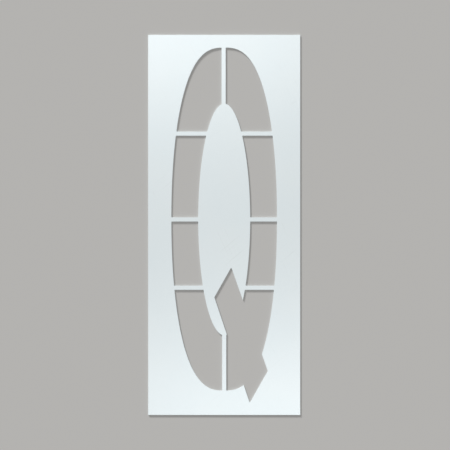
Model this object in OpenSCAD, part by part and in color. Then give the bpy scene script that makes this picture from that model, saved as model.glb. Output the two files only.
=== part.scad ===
// Pavement marking stencil for a tall capital letter with an oval bowl and a slanted tail.
// It is one flat sheet of polyethylene. The letter is routed out of it as paint windows, an island
// stays inside the bowl, and eight bridges left between the windows hold the island to the border.
// The sheet lies in the XY plane with the letter's head towards +Y and its underside at Z = 0.
// The origin is the middle of the underside.

/* [Border] */
// Width of the border on each side of the bowl
side_margin = 62; // [20:0.5:150]
// Width of the border beyond the letter's head
head_margin = 34; // [15:0.5:150]
// Width of the border beyond the tail's lower tip
foot_margin = 32; // [15:0.5:150]
// Thickness of the sheet
sheet_t = 3.2; // [1.5:0.1:6.5]

/* [Bowl] */
// Width of the letter's oval bowl
bowl_w = 282.4; // [220:0.1:400]
// Height of the bowl
bowl_h = 917; // [760:1:1200]
// Fullness of the bowl's sides: 2 is an ellipse, more makes them straighter
bowl_side_fullness = 2.15; // [1.8:0.01:4]
// Fullness of the bowl's ends: 2 is an ellipse, more makes them broader
bowl_end_fullness = 2.7; // [1.8:0.01:4]

/* [Island] */
// Width of the elliptical island inside the bowl
island_w = 139; // [90:1:190]
// Distance of the island's head below the bowl's
island_head_in = 150; // [110:0.5:220]
// Distance of the island's foot above the bowl's
island_foot_in = 148; // [110:0.5:220]

/* [Bridges] */
// Width of each bridge
bridge_w = 11; // [6:0.5:25]
// Distance of the upper bridges below the island's head
upper_bridge_in = 80; // [40:1:200]
// Distance of the lower bridges above the island's foot
lower_bridge_in = 127; // [40:1:200]
// Distance of the head bridge to the left of the letter's axis
head_bridge_off = 1.5; // [0:0.5:3]

/* [Tail] */
// Length of the tail along its left edge
tail_l = 298; // [200:1:360]
// Slope of the tail's left edge, in degrees from the baseline
tail_slope = 71.5; // [60:0.5:80]
// Length of the slanted cut across the tail's upper end
tail_upper_end_l = 92; // [60:0.5:130]
// Length of the slanted cut across its lower end
tail_lower_end_l = 98; // [60:0.5:130]
// Slope of both end cuts, in degrees from the baseline
tail_end_slope = 60.5; // [40:0.5:75]
// Height above the island's foot at which the tail's left edge passes the foot bridge
tail_pass = 6.5; // [0:0.5:30]
// Drop of the tail's lower tip below the bowl
tail_drop = 33; // [10:0.5:80]

/* [Cutting] */
// Diameter of the router cutter, which rounds the inside corners of the windows
cutter_d = 3.2; // [1.5:0.1:8]

/* [Hidden] */

// Angle between neighbouring points along an oval
oval_step = 1.5;
// Angle between neighbouring points round a corner
corner_step = 15;
// Halvings of the range when a place along an oval is searched for
search_steps = 40;

cutter_r = cutter_d / 2;

// The border follows the letter, from the bowl's head to the tail's lower tip
sheet_w = bowl_w + 2 * side_margin;
sheet_l = head_margin + bowl_h + tail_drop + foot_margin;

// Height of the bowl's middle above the sheet's
bowl_y = (foot_margin + tail_drop - head_margin) / 2;

// Heights of the island's head, foot and middle, from the middle of the bowl
island_head_y = bowl_h / 2 - island_head_in;
island_foot_y = island_foot_in - bowl_h / 2;
island_y = (island_head_y + island_foot_y) / 2;

// An oval is its half width and half height, the fullness of its ends and of its sides,
// and the height of its middle
bowl = [bowl_w / 2, bowl_h / 2, bowl_end_fullness, bowl_side_fullness, 0];
island = [island_w / 2, (island_head_y - island_foot_y) / 2, 2, 2, island_y];

// Side of an oval that the cutter runs on
inside = -1;
outside = 1;

// Halves of the letter. The left one is drawn as a right one and mirrored
right = 1;
left = -1;

// Heights of the three pairs of level bridges, from the middle of the bowl
upper_bridge_y = island_head_y - upper_bridge_in;
middle_bridge_y = island_y;
lower_bridge_y = island_foot_y + lower_bridge_in;

// Place of the cutter's centre when it touches an edge of a bridge
bridge_reach = bridge_w / 2 + cutter_r;

// Ends of the windows: axis and place of the cutter's centre, direction of the bridge's edge from it,
// and the stretch of the right-hand half of an oval on which it is searched for
function above_bridge(y) = [1, y + bridge_reach, 270, [-90, 90]];
function below_bridge(y) = [1, y - bridge_reach, 90, [-90, 90]];
function beside_head_bridge(half) = [0, bridge_reach - half * head_bridge_off, 180, [0, 90]];
beside_foot_bridge = [0, bridge_reach, 180, [-90, 0]];

// The four windows of a half from foot to head, each with its lower and its upper end
function window_ends(half) = [
    [beside_foot_bridge, below_bridge(lower_bridge_y)],
    [above_bridge(lower_bridge_y), below_bridge(middle_bridge_y)],
    [above_bridge(middle_bridge_y), below_bridge(upper_bridge_y)],
    [above_bridge(upper_bridge_y), beside_head_bridge(half)]
];

// The tail's left edge comes down to the lower tip from beside the foot bridge
tail_pass_y = island_foot_y + tail_pass;
tail_tip_y = -bowl_h / 2 - tail_drop;
tail_tip_x = bridge_w / 2 + (tail_pass_y - tail_tip_y) / tan(tail_slope);

// Corners of the tail, counterclockwise from its lower tip
tail_tip = [tail_tip_x, tail_tip_y];
tail_left = tail_tip + tail_l * [-cos(tail_slope), sin(tail_slope)];
along_end = [cos(tail_end_slope), sin(tail_end_slope)];
tail_corners = [
    tail_tip,
    tail_tip + tail_lower_end_l * along_end,
    tail_left + tail_upper_end_l * along_end,
    tail_left
];

// Point of an oval's right-hand half, from -90 at its foot to 90 at its head
function oval_point(oval, angle) = [
    oval[0] * pow(cos(angle), 2 / oval[2]),
    oval[1] * pow(abs(sin(angle)), 2 / oval[3]) * sign(angle) + oval[4]
];

// Outward direction of an oval's edge at that point
function oval_normal(oval, angle) =
    let (
        p = oval_point(oval, angle) - [0, oval[4]],
        across = oval[2] / oval[0] * pow(p.x / oval[0], oval[2] - 1),
        along = oval[3] / oval[1] * pow(abs(p.y) / oval[1], oval[3] - 1) * sign(angle)
    )
    [across, along] / norm([across, along]);

function direction(v) = atan2(v.y, v.x);

function oval_arc(oval, from, to) =
    let (steps = ceil(abs(to - from) / oval_step))
    [for (i = [0 : steps]) oval_point(oval, from + (to - from) * i / steps)];

function corner_arc(centre, from, to) =
    let (steps = max(1, ceil((to - from) / corner_step)))
    [
        for (i = [0 : steps])
            let (angle = from + (to - from) * i / steps)
            centre + cutter_r * [cos(angle), sin(angle)]
    ];

// Centre of a cutter that touches an oval at the given angle
function cutter_at(oval, side, angle) =
    oval_point(oval, angle) + side * cutter_r * oval_normal(oval, angle);

// Angle on an oval at which the cutter's centre reaches a place on one axis
function seat(oval, side, axis, place, range, steps = search_steps) =
    let (
        middle = (range[0] + range[1]) / 2,
        start_is_short = cutter_at(oval, side, range[0])[axis] < place,
        middle_is_short = cutter_at(oval, side, middle)[axis] < place,
        next = start_is_short == middle_is_short ? [middle, range[1]] : [range[0], middle]
    )
    steps == 0 ? middle : seat(oval, side, axis, place, next, steps - 1);

function seat_at_end(oval, side, end) = seat(oval, side, end[0], end[1], end[3]);

// One window, between the bowl, the island and a bridge at each end
module window(lower, upper) {
    bowl_low = seat_at_end(bowl, inside, lower);
    bowl_high = seat_at_end(bowl, inside, upper);
    island_low = seat_at_end(island, outside, lower);
    island_high = seat_at_end(island, outside, upper);
    to_bridge_low = lower[2];
    to_bridge_high = upper[2];
    polygon(concat(
        oval_arc(bowl, bowl_low, bowl_high),
        corner_arc(
            cutter_at(bowl, inside, bowl_high),
            direction(oval_normal(bowl, bowl_high)),
            to_bridge_high
        ),
        corner_arc(
            cutter_at(island, outside, island_high),
            to_bridge_high,
            direction(oval_normal(island, island_high)) + 180
        ),
        oval_arc(island, island_high, island_low),
        corner_arc(
            cutter_at(island, outside, island_low),
            direction(oval_normal(island, island_low)) + 180,
            to_bridge_low
        ),
        corner_arc(
            cutter_at(bowl, inside, bowl_low),
            to_bridge_low - 360,
            direction(oval_normal(bowl, bowl_low))
        )
    ));
}

module half_of_windows(half) {
    for (ends = window_ends(half))
        window(ends[0], ends[1]);
}

// The slanted stroke through the foot of the bowl, with the cutter's radius in its corners
module tail() {
    count = len(tail_corners);
    polygon([
        for (i = [0 : count - 1])
            let (
                corner = tail_corners[i],
                edge_in = direction(corner - tail_corners[(i + count - 1) % count]),
                edge_out = direction(tail_corners[(i + 1) % count] - corner),
                from = edge_in - 90,
                turn = (edge_out - edge_in + 360) % 360,
                middle = from + turn / 2,
                centre = corner - cutter_r / cos(turn / 2) * [cos(middle), sin(middle)]
            )
            each corner_arc(centre, from, from + turn)
    ]);
}

module letter() {
    half_of_windows(right);
    mirror([1, 0])
        half_of_windows(left);
    tail();
}

module stencil_sheet() {
    color("white")
        linear_extrude(sheet_t)
            difference() {
                square([sheet_w, sheet_l], center = true);
                translate([0, bowl_y])
                    letter();
            }
}

stencil_sheet();
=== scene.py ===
"""Builds the looks of a road marking stencil: one routed sheet of white plastic on a plain floor."""

import itertools
import math

import bmesh
import bpy
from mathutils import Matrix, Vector


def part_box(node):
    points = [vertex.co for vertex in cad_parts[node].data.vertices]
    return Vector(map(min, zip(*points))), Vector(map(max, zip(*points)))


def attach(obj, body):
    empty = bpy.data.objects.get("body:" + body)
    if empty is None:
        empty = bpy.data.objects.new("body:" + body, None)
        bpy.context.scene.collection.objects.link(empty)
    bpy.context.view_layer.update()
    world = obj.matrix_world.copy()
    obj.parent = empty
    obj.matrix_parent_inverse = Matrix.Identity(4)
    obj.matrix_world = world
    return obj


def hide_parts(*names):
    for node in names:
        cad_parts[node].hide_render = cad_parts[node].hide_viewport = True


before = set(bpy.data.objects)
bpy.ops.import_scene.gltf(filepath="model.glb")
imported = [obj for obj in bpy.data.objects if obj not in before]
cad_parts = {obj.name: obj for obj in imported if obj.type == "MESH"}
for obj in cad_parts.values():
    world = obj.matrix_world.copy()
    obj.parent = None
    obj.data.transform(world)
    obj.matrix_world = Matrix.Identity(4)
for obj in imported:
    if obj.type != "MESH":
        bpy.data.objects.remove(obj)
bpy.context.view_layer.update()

bl_info = {
    "name": "Road Marking Stencil",
    "version": (1, 0, 0),
    "blender": (4, 5, 0),
    "location": "View3D > Sidebar > Stencil",
    "description": "Builds a routed letter stencil in satin white plastic and lights it from above",
    "category": "Object",
}

SHEET_NODE = "stencil_sheet"
SHEET_PIECE = "routed_sheet"
SHEET_BODY = "root"
SHEET_LOW, SHEET_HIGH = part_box(SHEET_NODE)
SHEET_T = SHEET_HIGH.z - SHEET_LOW.z
SHEET_L = SHEET_HIGH.y - SHEET_LOW.y

# Where the sheet lies in the photograph, in pixels
PHOTO_SIDE = 450
SHEET_L_IN_PHOTO = 380.1
SHEET_MIDDLE_IN_PHOTO = (224.2, 224.9)
METRES_PER_PIXEL = SHEET_L / SHEET_L_IN_PHOTO

# Points of the solid closer than this are one point
WELD_GAP = 1e-6
# Faces of the solid whose normals rise by more than this are on its top
TOP_RISE = 0.5
# Edges between faces that meet at more than this angle are drawn sharp
SHARP_ANGLE = math.radians(40)
# Places of the finishes in the sheet's list of materials
FACE_FINISH, EDGE_FINISH = 0, 1
# Map in metres: along and up the cut edges, as the cutter ran, and across the faces
CUTTER_PATH = "cutter_path"

# Refractive index of polyethylene
PLASTIC_IOR = 1.51
# Value about which a noise varies
NOISE_MIDDLE = 0.5

# Clouds in the faces: how many to a metre, and the noise at which they begin and are full
CLOUDS_PER_METRE = 6.0
CLOUD_DETAIL = 3.0
CLOUD_RANGE = (0.3, 0.7)

# Streaks in the faces: their sizes across, along and through the sheet, and their part in roughness
STREAK_SIZES = (0.008, 0.8, 1.0)
STREAK_DETAIL = 3.0
STREAK_ROUGHNESS = 0.12

# Scuffs on the faces: the two ways in which they run, and the sizes of the noise that draws them.
# A hairline is where that noise is within a breadth of its middle
SCUFF_TURNS = (math.radians(25), math.radians(-50))
SCUFF_SIZES = (0.012, 0.7, 1.0)
SCUFF_DETAIL = 1.0
SCUFF_BREADTH = 0.008
# Patches in which scuffs show: how many to a metre, and the noise at which they begin and are full.
# The scuffs' turn is added to their number, so that each way has patches of its own
PATCHES_PER_METRE = 8.0
PATCH_RANGE = (0.52, 0.68)
# Part of the scuffs in the colour and in the roughness
SCUFF_STRENGTH = 0.5
SCUFF_ROUGHNESS = 0.1

# Fuzz on the cut edges: how many tufts to a metre, and its part in the roughness
TUFTS_PER_METRE = 400.0
FUZZ_DETAIL = 3.0
FUZZ_ROUGHNESS = 0.2
# How far the fuzz shifts the wave of the cutter's marks, in radians, and the height of that wave
MARK_SHIFT = 2.0
MARK_HEIGHT = 0.5

# Height of the sheet above the floor, which keeps their faces apart
FLOOR_GAP = 0.0002
# Straight sides of the round floor
FLOOR_SIDES = 96

# Direction of the key lamp from the sheet
KEY_SIDE = (-0.48, 0.8, 0.37)
# Places of the softboxes over the letter's head and foot, and their width and length
HEAD_SOFTBOX = (-0.42, 0.6, 0.49)
FOOT_SOFTBOX = (0.4, -0.55, 0.43)
SOFTBOX_SIZE = (1.6, 0.3)

# Sockets of the Mix node when it mixes colours
MIX_FACTOR, MIX_FIRST, MIX_SECOND, MIX_RESULT = 0, 6, 7, 2
# Rays to which the backdrop shows
SEEING_RAYS = ("Is Camera Ray", "Is Glossy Ray", "Is Transmission Ray")


class SheetProperties(bpy.types.PropertyGroup):
    """Sizes and finishes of the routed sheet"""

    rim_radius: bpy.props.FloatProperty(
        name="Rim Radius",
        description="Radius to which the rims of every cut edge are eased",
        default=0.0002,
        precision=5,
        unit="LENGTH",
    )
    rim_steps: bpy.props.IntProperty(
        name="Rim Steps",
        description="Facets round each eased rim",
        default=3,
        min=1,
    )
    face_color: bpy.props.FloatVectorProperty(
        name="Face Colour",
        description="Colour of the sheet's faces",
        default=(0.785, 0.855, 0.876),
        subtype="COLOR",
    )
    cloud_color: bpy.props.FloatVectorProperty(
        name="Cloud Colour",
        description="Colour of the faint clouds in the plastic",
        default=(0.800, 0.864, 0.880),
        subtype="COLOR",
    )
    scuff_color: bpy.props.FloatVectorProperty(
        name="Scuff Colour",
        description="Colour of the fine scuffs that handling leaves",
        default=(0.72, 0.775, 0.785),
        subtype="COLOR",
    )
    face_roughness: bpy.props.FloatProperty(
        name="Face Roughness",
        description="Roughness of the satin faces",
        default=0.6,
        subtype="FACTOR",
    )
    pebble_pitch: bpy.props.FloatProperty(
        name="Pebble Pitch",
        description="Distance between the bumps of the faces' fine pebble",
        default=0.0022,
        precision=5,
        unit="LENGTH",
    )
    pebble_depth: bpy.props.FloatProperty(
        name="Pebble Depth",
        description="Depth of the faces' fine pebble",
        default=0.0001,
        precision=5,
        unit="LENGTH",
    )
    edge_color: bpy.props.FloatVectorProperty(
        name="Edge Colour",
        description="Colour of the cut edges, which the cutter leaves frosted",
        default=(0.810, 0.862, 0.874),
        subtype="COLOR",
    )
    edge_roughness: bpy.props.FloatProperty(
        name="Edge Roughness",
        description="Roughness of the cut edges",
        default=0.66,
        subtype="FACTOR",
    )
    chatter_pitch: bpy.props.FloatProperty(
        name="Chatter Pitch",
        description="Distance between the cutter's marks along a cut edge",
        default=0.003,
        precision=5,
        unit="LENGTH",
    )
    chatter_depth: bpy.props.FloatProperty(
        name="Chatter Depth",
        description="Depth of the cutter's marks",
        default=0.00003,
        precision=6,
        unit="LENGTH",
    )


class StageProperties(bpy.types.PropertyGroup):
    """Floor, light and view"""

    floor_color: bpy.props.FloatVectorProperty(
        name="Floor Colour",
        description="Colour of the plain floor",
        default=(0.66, 0.65, 0.63),
        subtype="COLOR",
    )
    backdrop_color: bpy.props.FloatVectorProperty(
        name="Backdrop Colour",
        description="Colour into which the floor fades",
        default=(0.455, 0.448, 0.434),
        subtype="COLOR",
    )
    floor_fade: bpy.props.FloatProperty(
        name="Floor Fade",
        description="Distance from the sheet's middle at which the floor starts to fade",
        default=0.9,
        unit="LENGTH",
    )
    floor_radius: bpy.props.FloatProperty(
        name="Floor Radius",
        description="Distance from the sheet's middle at which the floor ends",
        default=2.6,
        unit="LENGTH",
    )
    ambient: bpy.props.FloatProperty(
        name="Ambient Level",
        description="Level of the even light from all round",
        default=0.42,
        subtype="FACTOR",
    )
    key_strength: bpy.props.FloatProperty(
        name="Key Strength",
        description="Strength of the far lamp beyond the letter's upper left",
        default=2.3,
    )
    key_softness: bpy.props.FloatProperty(
        name="Key Softness",
        description="Angle across which the far lamp shines, which blurs the sheet's shadow",
        default=math.radians(12),
        unit="ROTATION",
    )
    head_power: bpy.props.FloatProperty(
        name="Head Power",
        description="Power of the softbox above the letter's head",
        default=2.48,
        unit="POWER",
    )
    foot_power: bpy.props.FloatProperty(
        name="Foot Power",
        description="Power of the softbox above the letter's foot",
        default=1.93,
        unit="POWER",
    )
    lens: bpy.props.FloatProperty(
        name="Lens",
        description="Focal length of the camera",
        default=200.0,
        unit="CAMERA",
    )
    view_width: bpy.props.FloatProperty(
        name="View Width",
        description="Width of the camera's view at the sheet's top face",
        default=PHOTO_SIDE * METRES_PER_PIXEL,
        unit="LENGTH",
    )


class Value:
    """One output of a shader node. Arithmetic on it adds Math nodes."""

    def __init__(self, finish, socket):
        self.finish = finish
        self.socket = socket

    def maths(self, operation, *numbers):
        sockets = dict(enumerate(numbers))
        return self.finish.node("ShaderNodeMath", {"operation": operation}, sockets)

    def __add__(self, other):
        return self.maths("ADD", self, other)

    def __sub__(self, other):
        return self.maths("SUBTRACT", self, other)

    def __rsub__(self, other):
        return self.maths("SUBTRACT", other, self)

    def __mul__(self, other):
        return self.maths("MULTIPLY", self, other)

    def __abs__(self):
        return self.maths("ABSOLUTE", self)

    def wave(self):
        return self.maths("SINE", self)

    __radd__ = __add__
    __rmul__ = __mul__


class Finish:
    """The shader nodes of a material or of the world"""

    def __init__(self, owner):
        owner.use_nodes = True
        self.tree = owner.node_tree
        self.tree.nodes.clear()

    def node(self, kind, settings=None, sockets=None, output=0):
        """Adds a node, sets it up, fills or links its sockets, and returns one of its outputs."""
        made = self.tree.nodes.new(kind)
        for name, setting in (settings or {}).items():
            setattr(made, name, setting)
        for name, given in (sockets or {}).items():
            if isinstance(given, Value):
                self.tree.links.new(given.socket, made.inputs[name])
            else:
                made.inputs[name].default_value = given
        return Value(self, made.outputs[output]) if made.outputs else None

    def stretched(self, place, sizes, turn=0.0):
        """The place in units of the given sizes, along axes turned in the sheet's plane."""
        sockets = {"Vector": place, "Rotation": (0, 0, turn), "Scale": sizes}
        return self.node("ShaderNodeMapping", {"vector_type": "TEXTURE"}, sockets)

    def noise(self, place, scale=1.0, detail=2.0):
        sockets = {"Vector": place, "Scale": scale, "Detail": detail}
        return self.node("ShaderNodeTexNoise", None, sockets)

    def between(self, value, low, high):
        """Rises smoothly from 0 where the value is low to 1 where it is high."""
        sockets = {"Value": value, "From Min": low, "From Max": high}
        return self.node("ShaderNodeMapRange", {"interpolation_type": "SMOOTHSTEP"}, sockets)

    def mixed(self, factor, first, second):
        sockets = {MIX_FACTOR: factor, MIX_FIRST: first, MIX_SECOND: second}
        return self.node("ShaderNodeMix", {"data_type": "RGBA"}, sockets, MIX_RESULT)

    def blended(self, factor, first, second):
        """One shader that gives way to another as the factor rises."""
        sockets = dict(enumerate((factor, first, second)))
        return self.node("ShaderNodeMixShader", None, sockets)

    def relief(self, height, depth):
        return self.node("ShaderNodeBump", None, {"Height": height, "Distance": depth})


def opaque(color):
    return (*color, 1.0)


def polyethylene(finish, color, roughness, normal):
    """Ends a finish with the sheet's plastic."""
    sockets = {"Base Color": color, "Roughness": roughness, "Normal": normal, "IOR": PLASTIC_IOR}
    plastic = finish.node("ShaderNodeBsdfPrincipled", None, sockets)
    finish.node("ShaderNodeOutputMaterial", None, {"Surface": plastic})


def scuffs(finish, place, turn):
    """Sparse hairlines that run in one direction, in patches of their own."""
    lines = finish.noise(finish.stretched(place, SCUFF_SIZES, turn), detail=SCUFF_DETAIL)
    patches = finish.noise(place, PATCHES_PER_METRE + turn)
    hairlines = 1 - finish.between(abs(lines - NOISE_MIDDLE), 0.0, SCUFF_BREADTH)
    return hairlines * finish.between(patches, *PATCH_RANGE)


def face_finish(sheet):
    """Satin face with faint clouds, streaks along the sheet, a fine pebble and a few scuffs."""
    material = bpy.data.materials.new("satin_face")
    finish = Finish(material)
    place = finish.node("ShaderNodeTexCoord", output="Object")
    clouds = finish.between(finish.noise(place, CLOUDS_PER_METRE, CLOUD_DETAIL), *CLOUD_RANGE)
    streaks = finish.noise(finish.stretched(place, STREAK_SIZES), detail=STREAK_DETAIL)
    one_way, other_way = [scuffs(finish, place, turn) for turn in SCUFF_TURNS]
    scuffed = one_way + other_way
    pebble = finish.noise(place, 1 / sheet.pebble_pitch)
    clouded = finish.mixed(clouds, opaque(sheet.face_color), opaque(sheet.cloud_color))
    color = finish.mixed(scuffed * SCUFF_STRENGTH, clouded, opaque(sheet.scuff_color))
    streaked = sheet.face_roughness + (streaks - NOISE_MIDDLE) * STREAK_ROUGHNESS
    roughness = streaked + scuffed * SCUFF_ROUGHNESS
    polyethylene(finish, color, roughness, finish.relief(pebble, sheet.pebble_depth))
    return material


def edge_finish(sheet):
    """Frosted cut edge with the cutter's marks across it."""
    material = bpy.data.materials.new("routed_edge")
    finish = Finish(material)
    place = finish.node("ShaderNodeTexCoord", output="Object")
    path = finish.node("ShaderNodeUVMap", {"uv_map": CUTTER_PATH})
    run = finish.node("ShaderNodeSeparateXYZ", None, {"Vector": path}, "X")
    fuzz = finish.noise(place, TUFTS_PER_METRE, FUZZ_DETAIL)
    marks = (run * (math.tau / sheet.chatter_pitch) + fuzz * MARK_SHIFT).wave()
    color = finish.mixed(fuzz, opaque(sheet.edge_color), opaque(sheet.face_color))
    roughness = sheet.edge_roughness + (fuzz - NOISE_MIDDLE) * FUZZ_ROUGHNESS
    relief = finish.relief(marks * MARK_HEIGHT + fuzz, sheet.chatter_depth)
    polyethylene(finish, color, roughness, relief)
    return material


def neighbours(ring):
    return zip(ring, ring[1:] + ring[:1])


def top_of(node):
    """Points and triangles of a solid's top, and its outlines as rings with plastic on their left."""
    solid = bmesh.new()
    solid.from_mesh(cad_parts[node].data)
    bmesh.ops.remove_doubles(solid, verts=solid.verts, dist=WELD_GAP)
    solid.verts.index_update()
    points = [vert.co.xy for vert in solid.verts]
    top = [face for face in solid.faces if face.normal.z > TOP_RISE]
    triangles = [[vert.index for vert in face.verts] for face in top]
    solid.free()
    sides = {side for triangle in triangles for side in neighbours(triangle)}
    after = {start: end for start, end in sorted(sides) if (end, start) not in sides}
    rings = []
    while after:
        at = min(after)
        ring = []
        while at in after:
            ring.append(at)
            at = after.pop(at)
        rings.append(ring)
    return points, triangles, rings


def inset(ring, distance):
    """The ring moved into the plastic by a distance, with mitred corners."""
    moved = []
    for before, here, after in zip(ring[-1:] + ring[:-1], ring, ring[1:] + ring[:1]):
        inward = (here - before).orthogonal().normalized()
        mitre = (inward + (after - here).orthogonal().normalized()).normalized()
        moved.append(here + mitre * (distance / mitre.dot(inward)))
    return moved


def edge_profile(sheet):
    """Insets and heights up a cut edge, whose two rims are eased to a quarter round."""
    radius = sheet.rim_radius
    angles = [math.pi / 2 * step / sheet.rim_steps for step in range(sheet.rim_steps + 1)]
    lower = [(radius * (1 - math.sin(angle)), radius * (1 - math.cos(angle))) for angle in angles]
    upper = [(depth, SHEET_T - height) for depth, height in reversed(lower)]
    return lower + upper


def add_cut_edge(shape, outline, profile):
    """Adds the wall round one outline and returns its lowest and highest ring of points."""
    path = shape.loops.layers.uv[CUTTER_PATH]
    lengths = [(end - start).length for start, end in neighbours(outline)]
    runs = list(itertools.accumulate(lengths, initial=0.0))
    rings = [
        [shape.verts.new((*point, SHEET_LOW.z + height)) for point in inset(outline, depth)]
        for depth, height in profile
    ]
    for lower, upper in zip(rings, rings[1:]):
        for i, ((a, b), (d, c)) in enumerate(zip(neighbours(lower), neighbours(upper))):
            facet = shape.faces.new((a, b, c, d))
            facet.smooth = True
            facet.material_index = EDGE_FINISH
            for corner, run in zip(facet.loops, (runs[i], runs[i + 1], runs[i + 1], runs[i])):
                corner[path].uv = (run, corner.vert.co.z)
    return rings[0], rings[-1]


def add_face(shape, rim, triangles):
    """Adds a face of the sheet within its rims."""
    path = shape.loops.layers.uv[CUTTER_PATH]
    for triangle in triangles:
        face = shape.faces.new([rim[i] for i in triangle])
        face.material_index = FACE_FINISH
        for corner in face.loops:
            corner[path].uv = corner.vert.co.xy


def sheet_mesh(sheet):
    """The sheet, with every outline of its solid cut through it and both rims of each cut eased."""
    shape = bmesh.new()
    shape.loops.layers.uv.new(CUTTER_PATH)
    points, triangles, rings = top_of(SHEET_NODE)
    profile = edge_profile(sheet)
    lower_rim = {}
    upper_rim = {}
    for ring in rings:
        lowest, highest = add_cut_edge(shape, [points[i] for i in ring], profile)
        lower_rim.update(zip(ring, lowest))
        upper_rim.update(zip(ring, highest))
    add_face(shape, lower_rim, [triangle[::-1] for triangle in triangles])
    add_face(shape, upper_rim, triangles)
    shape.normal_update()
    for edge in shape.edges:
        edge.smooth = edge.calc_face_angle() < SHARP_ANGLE
    mesh = bpy.data.meshes.new(SHEET_PIECE)
    shape.to_mesh(mesh)
    shape.free()
    return mesh


class STENCIL_OT_add_sheet(bpy.types.Operator):
    """Builds the routed sheet on the outlines of its solid"""

    bl_idname = "stencil.add_sheet"
    bl_label = "Add Routed Sheet"

    def execute(self, context):
        sheet = context.scene.stencil_sheet
        piece = bpy.data.objects.new(SHEET_PIECE, sheet_mesh(sheet))
        context.scene.collection.objects.link(piece)
        piece.data.materials.append(face_finish(sheet))
        piece.data.materials.append(edge_finish(sheet))
        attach(piece, SHEET_BODY)
        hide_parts(SHEET_NODE)
        return {"FINISHED"}


def add_floor(context, stage):
    """A round floor that fades into the backdrop."""
    shape = bmesh.new()
    bmesh.ops.create_circle(shape, cap_ends=True, radius=stage.floor_radius, segments=FLOOR_SIDES)
    mesh = bpy.data.meshes.new("floor")
    shape.to_mesh(mesh)
    shape.free()
    floor = bpy.data.objects.new("floor", mesh)
    floor.location.z = SHEET_LOW.z - FLOOR_GAP
    context.scene.collection.objects.link(floor)
    mesh.materials.append(floor_finish(stage))


def floor_finish(stage):
    """Matt plain floor, clear at its edge."""
    material = bpy.data.materials.new("floor_paint")
    finish = Finish(material)
    place = finish.node("ShaderNodeTexCoord", output="Object")
    length = {"operation": "LENGTH"}
    distance = finish.node("ShaderNodeVectorMath", length, {"Vector": place}, "Value")
    fade = finish.between(distance, stage.floor_fade, stage.floor_radius)
    paint = finish.node("ShaderNodeBsdfDiffuse", None, {"Color": opaque(stage.floor_color)})
    clear = finish.node("ShaderNodeBsdfTransparent")
    finish.node("ShaderNodeOutputMaterial", None, {"Surface": finish.blended(fade, paint, clear)})
    return material


def add_backdrop(context, stage):
    """An even light, with the backdrop's colour where it is looked at."""
    world = bpy.data.worlds.new("backdrop")
    context.scene.world = world
    finish = Finish(world)
    rays = [finish.node("ShaderNodeLightPath", output=ray) for ray in SEEING_RAYS]
    direct, mirrored, through = rays
    looked_at = direct + mirrored + through
    level = (stage.ambient, stage.ambient, stage.ambient)
    light = finish.node("ShaderNodeBackground", None, {"Color": opaque(level)})
    backdrop = finish.node("ShaderNodeBackground", None, {"Color": opaque(stage.backdrop_color)})
    seen = finish.blended(looked_at, light, backdrop)
    finish.node("ShaderNodeOutputWorld", None, {"Surface": seen})


def add_key(context, stage):
    """A far, low lamp that lights the sheet and the floor evenly and leaves no glare."""
    lamp = bpy.data.lights.new("key", "SUN")
    lamp.energy = stage.key_strength
    lamp.angle = stage.key_softness
    key = bpy.data.objects.new("key", lamp)
    key.rotation_euler = Vector(KEY_SIDE).to_track_quat("Z", "Y").to_euler()
    key.visible_glossy = False
    context.scene.collection.objects.link(key)


def add_softbox(context, name, place, power, lit):
    """A rectangular lamp that faces straight down and lights the given collection alone."""
    lamp = bpy.data.lights.new(name, "AREA")
    lamp.shape = "RECTANGLE"
    lamp.size, lamp.size_y = SOFTBOX_SIZE
    lamp.energy = power
    softbox = bpy.data.objects.new(name, lamp)
    softbox.location = place
    softbox.visible_camera = False
    softbox.light_linking.receiver_collection = lit
    context.scene.collection.objects.link(softbox)


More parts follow.
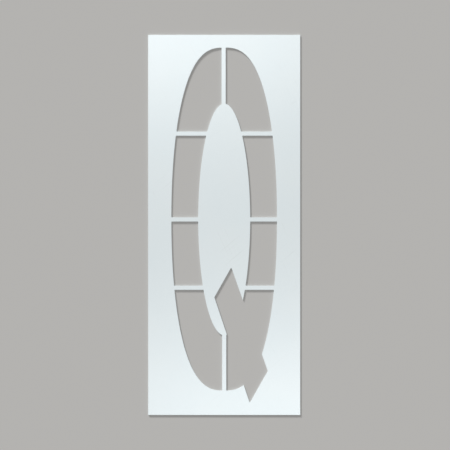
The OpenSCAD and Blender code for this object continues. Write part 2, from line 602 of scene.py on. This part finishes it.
def add_camera(context, stage):
    """A long lens that looks straight down, framed as in the photograph."""
    camera = bpy.data.cameras.new("camera")
    camera.lens = stage.lens
    viewer = bpy.data.objects.new("camera", camera)
    across, down = SHEET_MIDDLE_IN_PHOTO
    distance = stage.view_width * camera.lens / camera.sensor_width
    viewer.location = (
        (PHOTO_SIDE / 2 - across) * METRES_PER_PIXEL,
        (down - PHOTO_SIDE / 2) * METRES_PER_PIXEL,
        SHEET_HIGH.z + distance,
    )
    context.scene.collection.objects.link(viewer)
    context.scene.camera = viewer


class STENCIL_OT_add_stage(bpy.types.Operator):
    """Adds the floor, the backdrop, the lamps and the camera"""

    bl_idname = "stencil.add_stage"
    bl_label = "Add Stage"

    def execute(self, context):
        stage = context.scene.stencil_stage
        add_floor(context, stage)
        add_backdrop(context, stage)
        add_key(context, stage)
        lit = bpy.data.collections.new("lit_by_softboxes")
        lit.objects.link(bpy.data.objects[SHEET_PIECE])
        add_softbox(context, "head_softbox", HEAD_SOFTBOX, stage.head_power, lit)
        add_softbox(context, "foot_softbox", FOOT_SOFTBOX, stage.foot_power, lit)
        add_camera(context, stage)
        context.scene.view_settings.view_transform = "Standard"
        return {"FINISHED"}


class STENCIL_PT_panel(bpy.types.Panel):
    """Lists the stencil's sizes, finishes and operators"""

    bl_idname = "STENCIL_PT_panel"
    bl_label = "Road Marking Stencil"
    bl_space_type = "VIEW_3D"
    bl_region_type = "UI"
    bl_category = "Stencil"

    def draw(self, context):
        for properties, operator in (
            (context.scene.stencil_sheet, STENCIL_OT_add_sheet),
            (context.scene.stencil_stage, STENCIL_OT_add_stage),
        ):
            box = self.layout.box()
            for name in properties.__annotations__:
                box.prop(properties, name)
            box.operator(operator.bl_idname)


CLASSES = (
    SheetProperties,
    StageProperties,
    STENCIL_OT_add_sheet,
    STENCIL_OT_add_stage,
    STENCIL_PT_panel,
)


def register():
    for cls in CLASSES:
        bpy.utils.register_class(cls)
    bpy.types.Scene.stencil_sheet = bpy.props.PointerProperty(type=SheetProperties)
    bpy.types.Scene.stencil_stage = bpy.props.PointerProperty(type=StageProperties)


def unregister():
    del bpy.types.Scene.stencil_stage
    del bpy.types.Scene.stencil_sheet
    for cls in reversed(CLASSES):
        bpy.utils.unregister_class(cls)


def main():
    register()
    bpy.ops.stencil.add_sheet()
    bpy.ops.stencil.add_stage()


if __name__ == "__main__":
    main()
